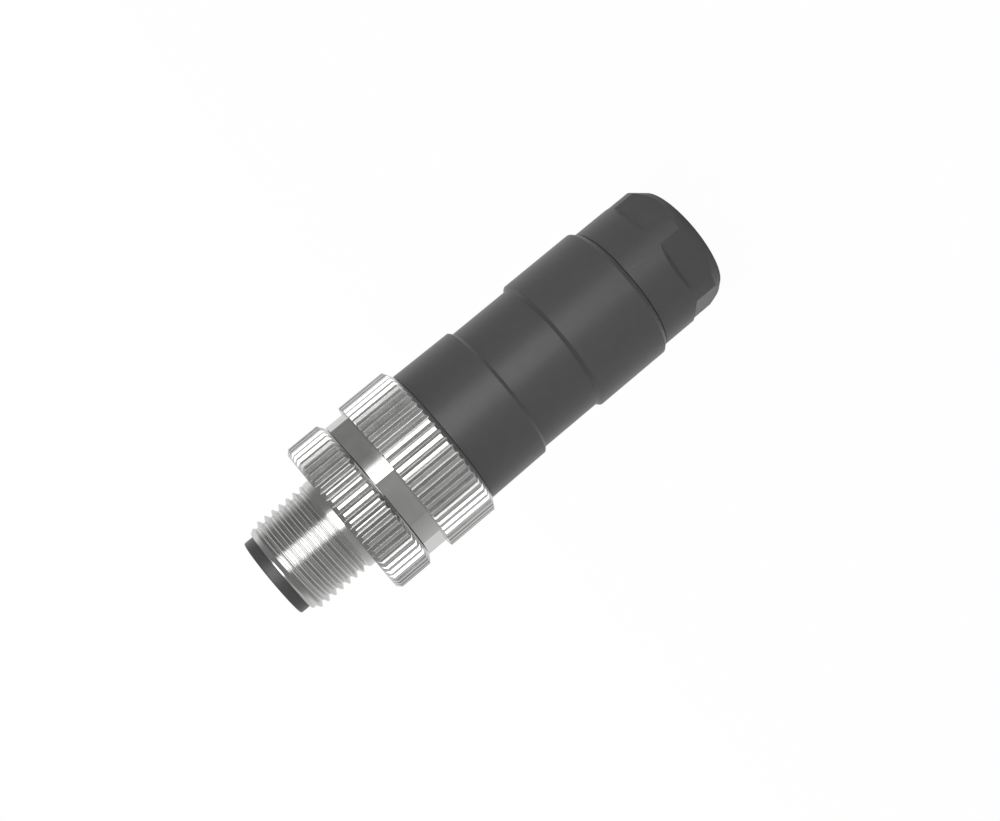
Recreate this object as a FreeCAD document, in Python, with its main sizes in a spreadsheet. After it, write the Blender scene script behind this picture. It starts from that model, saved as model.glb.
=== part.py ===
import FreeCAD, Part
import math
import os

import Sketcher

# Round screw-locking sensor connector, male, with a cable gland on its rear end.
# Millimetres. +Z runs along the axis towards the contact pins, and the origin is the centre of
# the gland nut's rear face, on which the connector stands.

doc = FreeCAD.newDocument("connector")
sheet = doc.addObject("Spreadsheet::Sheet", "Sizes")


class Size:
    """A length or angle as a number, with the expression that gives it from the sheet."""

    def __init__(self, value, text):
        self.value = value
        self.text = text

    def __add__(self, other):
        other = as_size(other)
        return Size(self.value + other.value, f"({self.text} + {other.text})")

    def __sub__(self, other):
        other = as_size(other)
        return Size(self.value - other.value, f"({self.text} - {other.text})")

    def __mul__(self, other):
        other = as_size(other)
        return Size(self.value * other.value, f"({self.text} * {other.text})")

    def __truediv__(self, other):
        other = as_size(other)
        return Size(self.value / other.value, f"({self.text} / {other.text})")

    def across(self, turn):
        """The X distance of a point at this radius and a turn in degrees about the axis."""
        return Size(self.value * math.cos(math.radians(turn.value)), f"({self.text} * cos({turn.text}))")

    def up(self, turn):
        """The Y distance of a point at this radius and a turn in degrees about the axis."""
        return Size(self.value * math.sin(math.radians(turn.value)), f"({self.text} * sin({turn.text}))")


def as_size(number):
    if isinstance(number, Size):
        return number
    return Size(number, repr(number))


def cell(alias, value):
    """One driving dimension: a plain number in the next row of the sheet, with its alias."""
    cell.row += 1
    sheet.set(f"A{cell.row}", alias.replace("_", " "))
    sheet.set(f"B{cell.row}", str(value))
    sheet.setAlias(f"B{cell.row}", alias)
    return Size(value, f"Sizes.{alias}")


cell.row = 0

# Clearances, and how far a cutting tool runs out past the material
closed_gap = cell("closed_gap", 0.05)
running_gap = cell("running_gap", 0.1)
fitted_gap = cell("fitted_gap", 0.05)
tool_overrun = cell("tool_overrun", 0.5)

# Gland nut
nut_radius = cell("nut_radius", 8.2)
nut_length = cell("nut_length", 9.35)
nut_edge_fillet = cell("nut_edge_fillet", 1.2)
nut_flats_across = cell("nut_flats_across", 15.0)
nut_flats_length = cell("nut_flats_length", 4.9)
nut_flats_turn = cell("nut_flats_turn", 13.0)
nut_wall = cell("nut_wall", 2.2)
nut_mouth_chamfer = cell("nut_mouth_chamfer", 0.3)
cable_bore_radius = cell("cable_bore_radius", 4.5)
cable_bore_lead = cell("cable_bore_lead", 0.5)

# Thrust ring inside the gland nut
thrust_length = cell("thrust_length", 1.5)
thrust_bore_gap = cell("thrust_bore_gap", 0.2)
thrust_inner_radius = cell("thrust_inner_radius", 4.6)
thrust_cone_radius = cell("thrust_cone_radius", 5.4)

# Cable housing, outside
spigot_radius = cell("spigot_radius", 6.9)
spigot_length = cell("spigot_length", 5.4)
rear_band_radius = cell("rear_band_radius", 8.76)
rear_band_chamfer = cell("rear_band_chamfer", 0.95)
rear_band_length = cell("rear_band_length", 9.35)
waist_radius = cell("waist_radius", 8.31)
waist_length = cell("waist_length", 7.8)
step_chamfer = cell("step_chamfer", 0.42)
front_band_radius = cell("front_band_radius", 8.75)
front_band_mouth_radius = cell("front_band_mouth_radius", 8.86)
front_band_length = cell("front_band_length", 7.99)

# Cable housing, inside
seal_seat_radius = cell("seal_seat_radius", 5.9)
seal_stop_place = cell("seal_stop_place", 1.4)
seal_stop_thickness = cell("seal_stop_thickness", 1.2)
seal_stop_radius = cell("seal_stop_radius", 4.6)
chamber_radius = cell("chamber_radius", 6.3)
housing_thread_depth = cell("housing_thread_depth", 6.8)
ring_seat_radius = cell("ring_seat_radius", 7.7)
ring_seat_depth = cell("ring_seat_depth", 1.75)

# Cable seal and clamping cage
seal_bore_radius = cell("seal_bore_radius", 3.9)
seal_body_radius = cell("seal_body_radius", 4.9)
seal_flange_length = cell("seal_flange_length", 0.7)
seal_tail = cell("seal_tail", 0.5)
cage_ring_length = cell("cage_ring_length", 1.1)
cage_bore_radius = cell("cage_bore_radius", 5.0)
cage_tip_radius = cell("cage_tip_radius", 5.3)
cage_tip_chamfer = cell("cage_tip_chamfer", 0.9)
cage_tip_gap = cell("cage_tip_gap", 0.3)
cage_slot_width = cell("cage_slot_width", 0.9)
cage_finger_count = 8

# Grip collar with its hexagonal neck
skirt_radius = cell("skirt_radius", 7.0)
skirt_length = cell("skirt_length", 6.0)
skirt_chamfer = cell("skirt_chamfer", 0.4)
ring_groove_radius = cell("ring_groove_radius", 6.5)
ring_groove_width = cell("ring_groove_width", 1.3)
ring_groove_place = cell("ring_groove_place", 0.25)
collar_bore_radius = cell("collar_bore_radius", 5.9)
grip_radius = cell("grip_radius", 10.0)
collar_grip_length = cell("collar_grip_length", 6.84)
collar_rear_radius = cell("collar_rear_radius", 9.0)
collar_rear_chamfer = cell("collar_rear_chamfer", 0.62)
neck_radius = cell("neck_radius", 9.19)
neck_length = cell("neck_length", 2.51)
neck_flats_across = cell("neck_flats_across", 17.3)
neck_flats_turn = cell("neck_flats_turn", 16.5)
journal_radius = cell("journal_radius", 6.5)
journal_length = cell("journal_length", 4.0)
journal_bore_radius = cell("journal_bore_radius", 5.05)
insert_stop_depth = cell("insert_stop_depth", 0.7)

# Straight knurl, the same on the collar and the coupling nut
knurl_width = cell("knurl_width", 0.62)
knurl_depth = cell("knurl_depth", 0.45)
knurl_turn = cell("knurl_turn", 3.7)
knurl_overrun = cell("knurl_overrun", 0.4)
knurl_count = 60

# Snap ring that holds the coupling nut on the collar
snap_ring_depth = cell("snap_ring_depth", 0.8)
snap_ring_thickness = cell("snap_ring_thickness", 0.6)
snap_place = cell("snap_place", 2.0)
snap_gap_width = cell("snap_gap_width", 3.0)

# Coupling nut with its external thread
nut_rear_gap = cell("nut_rear_gap", 0.12)
coupling_grip_length = cell("coupling_grip_length", 5.08)
coupling_rear_radius = cell("coupling_rear_radius", 9.25)
coupling_rear_chamfer = cell("coupling_rear_chamfer", 0.54)
coupling_front_chamfer = cell("coupling_front_chamfer", 0.53)
coupling_front_wall = cell("coupling_front_wall", 1.0)
thread_radius = cell("thread_radius", 5.95)
thread_length = cell("thread_length", 7.85)
lead_radius = cell("lead_radius", 5.63)
lead_length = cell("lead_length", 0.75)
lead_chamfer = cell("lead_chamfer", 0.25)

# Pin insert
insert_radius = cell("insert_radius", 5.0)
insert_flange_radius = cell("insert_flange_radius", 5.85)
insert_flange_length = cell("insert_flange_length", 4.0)
insert_overhang = cell("insert_overhang", 1.3)
shroud_bore_radius = cell("shroud_bore_radius", 4.25)
shroud_depth = cell("shroud_depth", 8.5)
shroud_lip_chamfer = cell("shroud_lip_chamfer", 0.2)
key_width = cell("key_width", 1.2)
key_depth = cell("key_depth", 0.65)
key_recess = cell("key_recess", 0.5)
insert_groove_radius = cell("insert_groove_radius", 5.0)
insert_groove_width = cell("insert_groove_width", 1.2)
insert_groove_place = cell("insert_groove_place", 1.4)

# Contacts
pin_circle_radius = cell("pin_circle_radius", 2.5)
first_pin_turn = cell("first_pin_turn", 45.0)
pin_radius = cell("pin_radius", 0.5)
pin_tip_round = cell("pin_tip_round", 0.3)
pin_recess = cell("pin_recess", 0.8)
pin_root_radius = cell("pin_root_radius", 0.75)
pin_shoulder_radius = cell("pin_shoulder_radius", 0.9)
barrel_radius = cell("barrel_radius", 1.4)
barrel_length = cell("barrel_length", 8.5)
wire_bore_radius = cell("wire_bore_radius", 0.85)
wire_bore_depth = cell("wire_bore_depth", 5.5)
pin_count = 4

# Terminal block
block_radius = cell("block_radius", 5.8)
block_length = cell("block_length", 20.3)
block_edge_chamfer = cell("block_edge_chamfer", 0.5)
barrel_recess = cell("barrel_recess", 0.5)

# Terminal screws
screw_place = cell("screw_place", 2.8)
screw_radius = cell("screw_radius", 0.8)
screw_length = cell("screw_length", 2.1)
screw_tip_place = cell("screw_tip_place", 3.2)
screw_slot_width = cell("screw_slot_width", 0.35)
screw_slot_depth = cell("screw_slot_depth", 0.45)

# Sealing rings, with the share of the wire that is pressed flat
ring_flat_share = cell("ring_flat_share", 0.45)
housing_ring_wire = cell("housing_ring_wire", 0.5)
housing_ring_radius = cell("housing_ring_radius", 7.1)
insert_ring_wire = cell("insert_ring_wire", 0.42)
insert_ring_radius = cell("insert_ring_radius", 5.45)

# Places along the axis, from the gland nut's rear face forwards
shoulder_z = nut_length + closed_gap
spigot_z = shoulder_z - spigot_length
rear_band_z = shoulder_z + rear_band_chamfer
rear_band_end_z = rear_band_z + rear_band_length
waist_z = rear_band_end_z + step_chamfer
waist_end_z = waist_z + waist_length
front_band_z = waist_end_z + step_chamfer
housing_mouth_z = front_band_z + front_band_length
seal_stop_z = shoulder_z + seal_stop_place
chamber_z = seal_stop_z + seal_stop_thickness
collar_z = housing_mouth_z + closed_gap
skirt_z = collar_z - skirt_length
grip_front_z = collar_z + collar_grip_length
neck_front_z = grip_front_z + neck_length
journal_front_z = neck_front_z + journal_length
coupling_z = neck_front_z + nut_rear_gap
coupling_front_z = coupling_z + coupling_grip_length
coupling_floor_z = coupling_front_z - coupling_front_wall
thread_end_z = coupling_front_z + thread_length
sleeve_front_z = thread_end_z + lead_length
insert_stop_z = neck_front_z - insert_stop_depth
insert_front_z = sleeve_front_z + insert_overhang
insert_flange_z = insert_stop_z - insert_flange_length
insert_groove_z = insert_flange_z + insert_groove_place
shroud_floor_z = insert_front_z - shroud_depth
snap_z = neck_front_z + snap_place
block_front_z = insert_flange_z - fitted_gap
block_z = block_front_z - block_length
barrel_z = block_z + barrel_recess
barrel_front_z = barrel_z + barrel_length
pin_tip_z = insert_front_z - pin_recess
screw_z = barrel_z + screw_place
thrust_z = nut_wall + closed_gap
cage_tip_z = thrust_z + thrust_length + cage_tip_gap

doc.recompute()


def bind(thing, path, size):
    """Give a property or a sketch constraint its value and the expression behind it."""
    thing.setExpression(path, as_size(size).text)


def new_body(label):
    body = doc.addObject("PartDesign::Body", label)
    body.Label = label
    return body


def origin_part(body, role):
    for feature in body.Origin.OriginFeatures:
        if feature.Role == role:
            return feature
    raise ValueError(f"no {role} in {body.Label}")


def new_sketch(body, name, plane="XZ_Plane", height=None, turn=None):
    """A sketch on one of the body's own planes, lifted along or turned about that plane's normal."""
    sketch = body.newObject("Sketcher::SketchObject", name)
    sketch.AttachmentSupport = [(origin_part(body, plane), "")]
    sketch.MapMode = "FlatFace"
    if height is not None:
        bind(sketch, "AttachmentOffset.Base.z", height)
    if turn is not None:
        bind(sketch, "AttachmentOffset.Rotation.Angle", turn)
    return sketch


def fix_point(sketch, geometry, end, across, up):
    """Tie one sketch point to its distances from the sketch's origin."""
    for kind, reach, axis in (("DistanceX", across, -2), ("DistanceY", up, -1)):
        reach = as_size(reach)
        if reach.value == 0:
            sketch.addConstraint(Sketcher.Constraint("PointOnObject", geometry, end, axis))
            continue
        index = sketch.addConstraint(Sketcher.Constraint(kind, -1, 1, geometry, end, reach.value))
        bind(sketch, f"Constraints[{index}]", reach)


def draw_outline(sketch, points):
    """A closed outline of straight lines through points given as pairs of sizes."""
    points = [(as_size(across), as_size(up)) for across, up in points]
    places = [FreeCAD.Vector(across.value, up.value, 0) for across, up in points]
    lines = []
    for index, start in enumerate(places):
        end = places[(index + 1) % len(places)]
        lines.append(sketch.addGeometry(Part.LineSegment(start, end), False))
    for index, line in enumerate(lines):
        following = lines[(index + 1) % len(lines)]
        sketch.addConstraint(Sketcher.Constraint("Coincident", line, 2, following, 1))
    for line, (across, up) in zip(lines, points):
        fix_point(sketch, line, 1, across, up)


def draw_circle(sketch, radius, across=0, up=0):
    across, up, radius = as_size(across), as_size(up), as_size(radius)
    centre = FreeCAD.Vector(across.value, up.value, 0)
    circle = sketch.addGeometry(Part.Circle(centre, FreeCAD.Vector(0, 0, 1), radius.value), False)
    if across.value == 0 and up.value == 0:
        sketch.addConstraint(Sketcher.Constraint("Coincident", circle, 3, -1, 1))
    else:
        fix_point(sketch, circle, 3, across, up)
    index = sketch.addConstraint(Sketcher.Constraint("Radius", circle, radius.value))
    bind(sketch, f"Constraints[{index}]", radius)


def turned(body, name, points):
    """Material turned about the axis from an outline of (radius, height) points."""
    sketch = new_sketch(body, f"{name}_profile")
    draw_outline(sketch, points)
    turn = body.newObject("PartDesign::Revolution", name)
    turn.Profile = sketch
    turn.ReferenceAxis = (origin_part(body, "Z_Axis"), [""])
    turn.Angle = 360
    return turn


def raised(body, name, sketch, length):
    """Material pulled up from a sketch."""
    pad = body.newObject("PartDesign::Pad", name)
    pad.Profile = sketch
    bind(pad, "Length", length)
    return pad


def sunk(body, name, sketch, length, upwards=True):
    """Material cut away from a sketch, upwards or downwards by its length."""
    pocket = body.newObject("PartDesign::Pocket", name)
    pocket.Profile = sketch
    pocket.Reversed = upwards
    bind(pocket, "Length", length)
    return pocket


def repeated(body, name, feature, count):
    """A cut or a boss repeated round the axis."""
    pattern = body.newObject("PartDesign::PolarPattern", name)
    pattern.Originals = [feature]
    pattern.Axis = (origin_part(body, "Z_Axis"), [""])
    pattern.Angle = 360
    pattern.Occurrences = count
    body.Tip = pattern
    return pattern


def cut_flats(body, name, across, outer, height, length, turn):
    """Six spanner flats: one slice cut away beyond the flat, repeated round the axis."""
    sketch = new_sketch(body, f"{name}_slice", "XY_Plane", height, turn)
    inner = across / 2
    beyond = outer + tool_overrun
    draw_outline(sketch, [(inner, beyond * -1), (beyond, beyond * -1), (beyond, beyond), (inner, beyond)])
    slice_cut = sunk(body, f"{name}_first", sketch, length)
    return repeated(body, name, slice_cut, 6)


def cut_knurl(body, name, height, length):
    """Straight knurl: one V groove along the rim, repeated round the axis."""
    sketch = new_sketch(body, f"{name}_tooth_gap", "XY_Plane", height, knurl_turn)
    root = grip_radius - knurl_depth
    mouth = grip_radius + knurl_overrun
    half_mouth = knurl_width * (knurl_depth + knurl_overrun) / knurl_depth / 2
    draw_outline(sketch, [(root, 0), (mouth, half_mouth * -1), (mouth, half_mouth)])
    gap = sunk(body, f"{name}_first", sketch, length)
    return repeated(body, name, gap, knurl_count)


def drill_pin_holes(body, name, radius, height, depth):
    """Four holes on the pin circle, drilled upwards from a height."""
    sketch = new_sketch(body, f"{name}_circle", "XY_Plane", height)
    draw_circle(sketch, radius, pin_circle_radius)
    hole = sunk(body, f"{name}_first", sketch, depth)
    return repeated(body, name, hole, pin_count)


def turn_to_pins(body):
    """Clock a piece whose first pin lies on +X to the first pin's real direction."""
    body.Placement = FreeCAD.Placement(
        FreeCAD.Vector(0, 0, 0), FreeCAD.Rotation(FreeCAD.Vector(0, 0, 1), first_pin_turn.value)
    )
    bind(body, "Placement.Rotation.Angle", first_pin_turn)


def make_squeezed_ring(label, wire_radius, ring_radius, height):
    """A rubber ring as it lies squeezed in its groove: flats where it bears, bevels between."""
    body = new_body(label)
    flat = wire_radius * ring_flat_share
    inner = ring_radius - wire_radius
    outer = ring_radius + wire_radius
    turned(
        body,
        f"{label}_turn",
        [
            (ring_radius - flat, height - wire_radius),
            (ring_radius + flat, height - wire_radius),
            (outer, height - flat),
            (outer, height + flat),
            (ring_radius + flat, height + wire_radius),
            (ring_radius - flat, height + wire_radius),
            (inner, height + flat),
            (inner, height - flat),
        ],
    )
    return body


def make_gland_nut():
    """Pressure nut: blind cup with the cable bore in its floor and six flats at the rear."""
    body = new_body("gland_nut")
    thread_radius_inside = spigot_radius + running_gap
    cup = turned(
        body,
        "nut_cup",
        [
            (cable_bore_radius + cable_bore_lead, 0),
            (nut_radius, 0),
            (nut_radius, nut_length),
            (thread_radius_inside + nut_mouth_chamfer, nut_length),
            (thread_radius_inside, nut_length - nut_mouth_chamfer),
            (thread_radius_inside, nut_wall),
            (cable_bore_radius, nut_wall),
            (cable_bore_radius, cable_bore_lead),
        ],
    )
    doc.recompute()
    rim = [
        f"Edge{number}"
        for number, edge in enumerate(cup.Shape.Edges, 1)
        if edge.BoundBox.ZMax < 1e-6 and edge.BoundBox.XMax > nut_radius.value - 1e-6
    ]
    rounded = body.newObject("PartDesign::Fillet", "nut_rear_edge")
    rounded.Base = (cup, rim)
    bind(rounded, "Radius", nut_edge_fillet)
    cut_flats(body, "nut_flats", nut_flats_across, nut_radius, 0, nut_flats_length, nut_flats_turn)
    return body


def make_thrust_ring():
    """Slip ring between the gland nut's floor and the cage fingers."""
    body = new_body("thrust_ring")
    front = thrust_z + thrust_length
    outer = spigot_radius + running_gap - thrust_bore_gap
    turned(
        body,
        "ring",
        [
            (thrust_inner_radius, thrust_z),
            (outer, thrust_z),
            (outer, front),
            (thrust_cone_radius, front),
        ],
    )
    return body


def make_cable_housing():
    """Moulded housing: spigot for the gland nut, two bands with a waist, and the wiring chamber."""
    body = new_body("cable_housing")
    bore = skirt_radius + running_gap
    thread_z = housing_mouth_z - housing_thread_depth
    ring_seat_z = housing_mouth_z - ring_seat_depth
    turned(
        body,
        "housing",
        [
            (seal_seat_radius, spigot_z),
            (spigot_radius - nut_mouth_chamfer, spigot_z),
            (spigot_radius, spigot_z + nut_mouth_chamfer),
            (spigot_radius, shoulder_z),
            (nut_radius, shoulder_z),
            (rear_band_radius, rear_band_z),
            (rear_band_radius, rear_band_end_z),
            (waist_radius, waist_z),
            (waist_radius, waist_end_z),
            (front_band_radius, front_band_z),
            (front_band_mouth_radius, housing_mouth_z),
            (ring_seat_radius, housing_mouth_z),
            (ring_seat_radius, ring_seat_z),
            (bore, ring_seat_z),
            (bore, thread_z),
            (chamber_radius, thread_z),
            (chamber_radius, chamber_z),
            (seal_stop_radius, chamber_z),
            (seal_stop_radius, seal_stop_z),
            (seal_seat_radius, seal_stop_z),
        ],
    )
    return body


def make_cable_seal():
    """Rubber sleeve round the cable, with a flange against the housing's inner stop."""
    body = new_body("cable_seal")
    front = seal_stop_z - fitted_gap
    flange = front - seal_flange_length
    rear = cage_tip_z + seal_tail
    flange_radius = seal_seat_radius - fitted_gap
    turned(
        body,
        "sleeve",
        [
            (seal_bore_radius, rear),
            (seal_body_radius, rear),
            (seal_body_radius, flange),
            (flange_radius, flange),
            (flange_radius, front),
            (seal_bore_radius, front),
        ],
    )
    return body


def make_clamp_cage():
    """Cage of eight fingers round the seal, with slots open towards the gland nut."""
    body = new_body("clamp_cage")
    outer = seal_seat_radius - fitted_gap
    front = seal_stop_z - fitted_gap - seal_flange_length - fitted_gap
    turned(
        body,
        "cage_tube",
        [
            (cage_bore_radius, cage_tip_z),
            (cage_tip_radius, cage_tip_z),
            (outer, cage_tip_z + cage_tip_chamfer),
            (outer, front),
            (cage_bore_radius, front),
        ],
    )
    sketch = new_sketch(body, "cage_slot_outline", "XY_Plane", cage_tip_z)
    inner = cage_bore_radius - tool_overrun
    beyond = outer + tool_overrun
    half = cage_slot_width / 2
    draw_outline(sketch, [(inner, half * -1), (beyond, half * -1), (beyond, half), (inner, half)])
    slot = sunk(body, "cage_slot", sketch, front - cage_ring_length - cage_tip_z)
    repeated(body, "cage_slots", slot, cage_finger_count)
    return body


def make_grip_collar():
    """Metal collar: threaded skirt, knurled grip, six-sided neck and the coupling nut's journal."""
    body = new_body("grip_collar")
    groove_front = collar_z - ring_groove_place
    groove_rear = groove_front - ring_groove_width
    snap_rear = snap_z - snap_ring_thickness / 2 - running_gap
    snap_front = snap_z + snap_ring_thickness / 2 + running_gap
    snap_groove = journal_radius + running_gap / 2 - snap_ring_depth / 2 - running_gap
    turned(
        body,
        "collar",
        [
            (collar_bore_radius, skirt_z),
            (skirt_radius - skirt_chamfer, skirt_z),
            (skirt_radius, skirt_z + skirt_chamfer),
            (skirt_radius, groove_rear),
            (ring_groove_radius, groove_rear),
            (ring_groove_radius, groove_front),
            (skirt_radius, groove_front),
            (skirt_radius, collar_z),
            (collar_rear_radius, collar_z),
            (grip_radius, collar_z + collar_rear_chamfer),
            (grip_radius, grip_front_z),
            (neck_radius, grip_front_z),
            (neck_radius, neck_front_z),
            (journal_radius, neck_front_z),
            (journal_radius, snap_rear),
            (snap_groove, snap_rear),
            (snap_groove, snap_front),
            (journal_radius, snap_front),
            (journal_radius, journal_front_z),
            (journal_bore_radius, journal_front_z),
            (journal_bore_radius, insert_stop_z),
            (collar_bore_radius, insert_stop_z),
        ],
    )
    cut_flats(
        body, "neck_flats", neck_flats_across, neck_radius, grip_front_z, neck_length, neck_flats_turn
    )
    cut_knurl(body, "collar_knurl", collar_z, collar_grip_length)
    return body


def make_snap_ring():
    """Open flat ring, half in the collar's groove and half in the coupling nut's."""
    body = new_body("snap_ring")
    middle = journal_radius + running_gap / 2
    inner = middle - snap_ring_depth / 2
    outer = middle + snap_ring_depth / 2
    rear = snap_z - snap_ring_thickness / 2
    front = snap_z + snap_ring_thickness / 2
    turned(body, "flat_ring", [(inner, rear), (outer, rear), (outer, front), (inner, front)])
    gap = new_sketch(body, "ring_gap_outline", "XY_Plane", rear)
    half = snap_gap_width / 2
    beyond = outer + tool_overrun
    draw_outline(gap, [(middle / 2, half * -1), (beyond, half * -1), (beyond, half), (middle / 2, half)])
    sunk(body, "ring_gap", gap, snap_ring_thickness)
    return body


def make_coupling_nut():
    """Knurled coupling nut whose sleeve carries the external thread, here at its crest size."""
    body = new_body("coupling_nut")
    bore = journal_radius + running_gap
    sleeve_bore = insert_radius + running_gap
    snap_rear = snap_z - snap_ring_thickness / 2 - running_gap
    snap_front = snap_z + snap_ring_thickness / 2 + running_gap
    snap_groove = journal_radius + running_gap / 2 + snap_ring_depth / 2 + running_gap
    turned(
        body,
        "coupling",
        [
            (bore, coupling_z),
            (coupling_rear_radius, coupling_z),
            (grip_radius, coupling_z + coupling_rear_chamfer),
            (grip_radius, coupling_front_z - coupling_front_chamfer),
            (grip_radius - coupling_front_chamfer, coupling_front_z),
            (thread_radius, coupling_front_z),
            (thread_radius, thread_end_z),
            (lead_radius, thread_end_z),
            (lead_radius, sleeve_front_z - lead_chamfer),
            (lead_radius - lead_chamfer, sleeve_front_z),
            (sleeve_bore, sleeve_front_z),
            (sleeve_bore, coupling_floor_z),
            (bore, coupling_floor_z),
            (bore, snap_front),
            (snap_groove, snap_front),
            (snap_groove, snap_rear),
            (bore, snap_rear),
        ],
    )
    cut_knurl(body, "coupling_knurl", coupling_z, coupling_grip_length)
    return body


def make_pin_insert():
    """Insulating insert: shroud with its key rib in front, and a flange that the collar holds."""
    body = new_body("pin_insert")
    groove_front = insert_groove_z + insert_groove_width
    turned(
        body,
        "insert",
        [
            (0, insert_flange_z),
            (insert_flange_radius, insert_flange_z),
            (insert_flange_radius, insert_groove_z),
            (insert_groove_radius, insert_groove_z),
            (insert_groove_radius, groove_front),
            (insert_flange_radius, groove_front),
            (insert_flange_radius, insert_stop_z - fitted_gap),
            (insert_radius, insert_stop_z - fitted_gap),
            (insert_radius, insert_front_z - shroud_lip_chamfer),
            (insert_radius - shroud_lip_chamfer, insert_front_z),
            (shroud_bore_radius + shroud_lip_chamfer, insert_front_z),
            (shroud_bore_radius, insert_front_z - shroud_lip_chamfer),
            (shroud_bore_radius, shroud_floor_z),
            (0, shroud_floor_z),
        ],
    )
    rib = new_sketch(body, "key_outline", "XY_Plane", shroud_floor_z, first_pin_turn * -1)
    half = key_width / 2
    inner = shroud_bore_radius - key_depth
    outer = (shroud_bore_radius + insert_radius) / 2
    draw_outline(rib, [(inner, half * -1), (outer, half * -1), (outer, half), (inner, half)])
    raised(body, "key_rib", rib, shroud_depth - key_recess)
    reach = shroud_floor_z - insert_flange_z
    shoulder_reach = insert_stop_z + fitted_gap - insert_flange_z
    drill_pin_holes(body, "pin_holes", pin_root_radius + fitted_gap, insert_flange_z, reach)
    drill_pin_holes(
        body, "shoulder_holes", pin_shoulder_radius + fitted_gap, insert_flange_z, shoulder_reach
    )
    turn_to_pins(body)
    return body


def make_terminal_block():
    """Insulating block round the terminals, with screw wells in its side."""
    body = new_body("terminal_block")
    turned(
        body,
        "block",
        [
            (0, block_z),
            (block_radius - block_edge_chamfer, block_z),
            (block_radius, block_z + block_edge_chamfer),
            (block_radius, block_front_z),
            (0, block_front_z),
        ],
    )
    drill_pin_holes(body, "terminal_holes", barrel_radius + fitted_gap, block_z, block_length)
    circle = new_sketch(body, "screw_well_circle", "YZ_Plane", pin_circle_radius)
    draw_circle(circle, screw_radius + fitted_gap, 0, screw_z)
    well = sunk(body, "screw_well", circle, block_radius)
    repeated(body, "screw_wells", well, pin_count)
    turn_to_pins(body)
    return body


def make_contact(number):
    """Turned contact: pin in front, shoulder held by the insert, wire barrel at the rear."""
    body = new_body(f"contact_{number}")
    bore_end_z = barrel_z + wire_bore_depth
    turned(
        body,
        f"contact_{number}_turn",
        [
            (wire_bore_radius, barrel_z),
            (barrel_radius, barrel_z),
            (barrel_radius, barrel_front_z),
            (pin_shoulder_radius, barrel_front_z),
            (pin_shoulder_radius, insert_stop_z),
            (pin_root_radius, insert_stop_z),
            (pin_root_radius, shroud_floor_z),
            (pin_radius, shroud_floor_z),
            (pin_radius, pin_tip_z - pin_tip_round),
            (pin_radius - pin_tip_round, pin_tip_z),
            (0, pin_tip_z),
            (0, bore_end_z),
            (wire_bore_radius, bore_end_z),
        ],
    )
    tapping = new_sketch(body, f"contact_{number}_tapping", "YZ_Plane")
    draw_circle(tapping, screw_radius + fitted_gap, 0, screw_z)
    sunk(body, f"contact_{number}_screw_hole", tapping, barrel_radius + tool_overrun)
    turn = first_pin_turn + 360 / pin_count * (number - 1)
    across = pin_circle_radius.across(turn)
    up = pin_circle_radius.up(turn)
    body.Placement = FreeCAD.Placement(
        FreeCAD.Vector(across.value, up.value, 0),
        FreeCAD.Rotation(FreeCAD.Vector(0, 0, 1), turn.value),
    )
    bind(body, "Placement.Base.x", across)
    bind(body, "Placement.Base.y", up)
    bind(body, "Placement.Rotation.Angle", turn)
    return body


def make_terminal_screw(number):
    """Slotted set screw lying in its well, its tip through the barrel's wall."""
    body = new_body(f"terminal_screw_{number}")
    top = screw_tip_place + screw_length
    turned(
        body,
        f"screw_{number}_turn",
        [(0, screw_tip_place), (screw_radius, screw_tip_place), (screw_radius, top), (0, top)],
    )
    slot = new_sketch(body, f"screw_{number}_slot_outline", "XY_Plane", top)
    half = screw_slot_width / 2
    beyond = screw_radius + tool_overrun
    draw_outline(slot, [(beyond * -1, half * -1), (beyond, half * -1), (beyond, half), (beyond * -1, half)])
    sunk(body, f"screw_{number}_slot", slot, screw_slot_depth, upwards=False)
    turn = first_pin_turn + 360 / pin_count * (number - 1)
    lay_outwards = FreeCAD.Rotation(FreeCAD.Vector(0, 1, 0), 90)
    body.Placement = FreeCAD.Placement(
        FreeCAD.Vector(0, 0, screw_z.value),
        FreeCAD.Rotation(FreeCAD.Vector(0, 0, 1), turn.value).multiply(lay_outwards),
    )
    bind(body, "Placement.Base.z", screw_z)
    return body


def make_terminal_screws():
    """The four like screws together as one group."""
    group = doc.addObject("Part::Compound", "terminal_screws")
    group.Label = "terminal_screws"
    group.Links = [make_terminal_screw(number) for number in range(1, pin_count + 1)]
    return group


def stop_if_failed():
    """Stop with a plain message where any object of the document could not be worked out."""
    for thing in doc.Objects:
        if "Invalid" in thing.State or "Error" in thing.State:
            raise RuntimeError(f"{thing.Label} failed: {thing.State}")


def write(piece):
    """One piece's solids to its own file."""
    shape = piece.Shape
    if shape.isNull() or not shape.isValid():
        raise RuntimeError(f"{piece.Label} has no valid shape")
    shape.exportStep(f"parts/{piece.Label}.step")
    print(f"{piece.Label}: {len(shape.Solids)} solids, {shape.Volume:.2f} mm3")


ring_groove_middle_z = collar_z - ring_groove_place - ring_groove_width / 2
insert_groove_middle_z = insert_groove_z + insert_groove_width / 2
pieces = [
    make_gland_nut(),
    make_thrust_ring(),
    make_cable_housing(),
    make_cable_seal(),
    make_clamp_cage(),
    make_grip_collar(),
    make_squeezed_ring("housing_o_ring", housing_ring_wire, housing_ring_radius, ring_groove_middle_z),
    make_snap_ring(),
    make_coupling_nut(),
    make_pin_insert(),
    make_squeezed_ring("insert_o_ring", insert_ring_wire, insert_ring_radius, insert_groove_middle_z),
    make_terminal_block(),
    *[make_contact(number) for number in range(1, pin_count + 1)],
    make_terminal_screws(),
]
doc.recompute()
stop_if_failed()
os.makedirs("parts", exist_ok=True)
for piece in pieces:
    write(piece)
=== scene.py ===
import math

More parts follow.
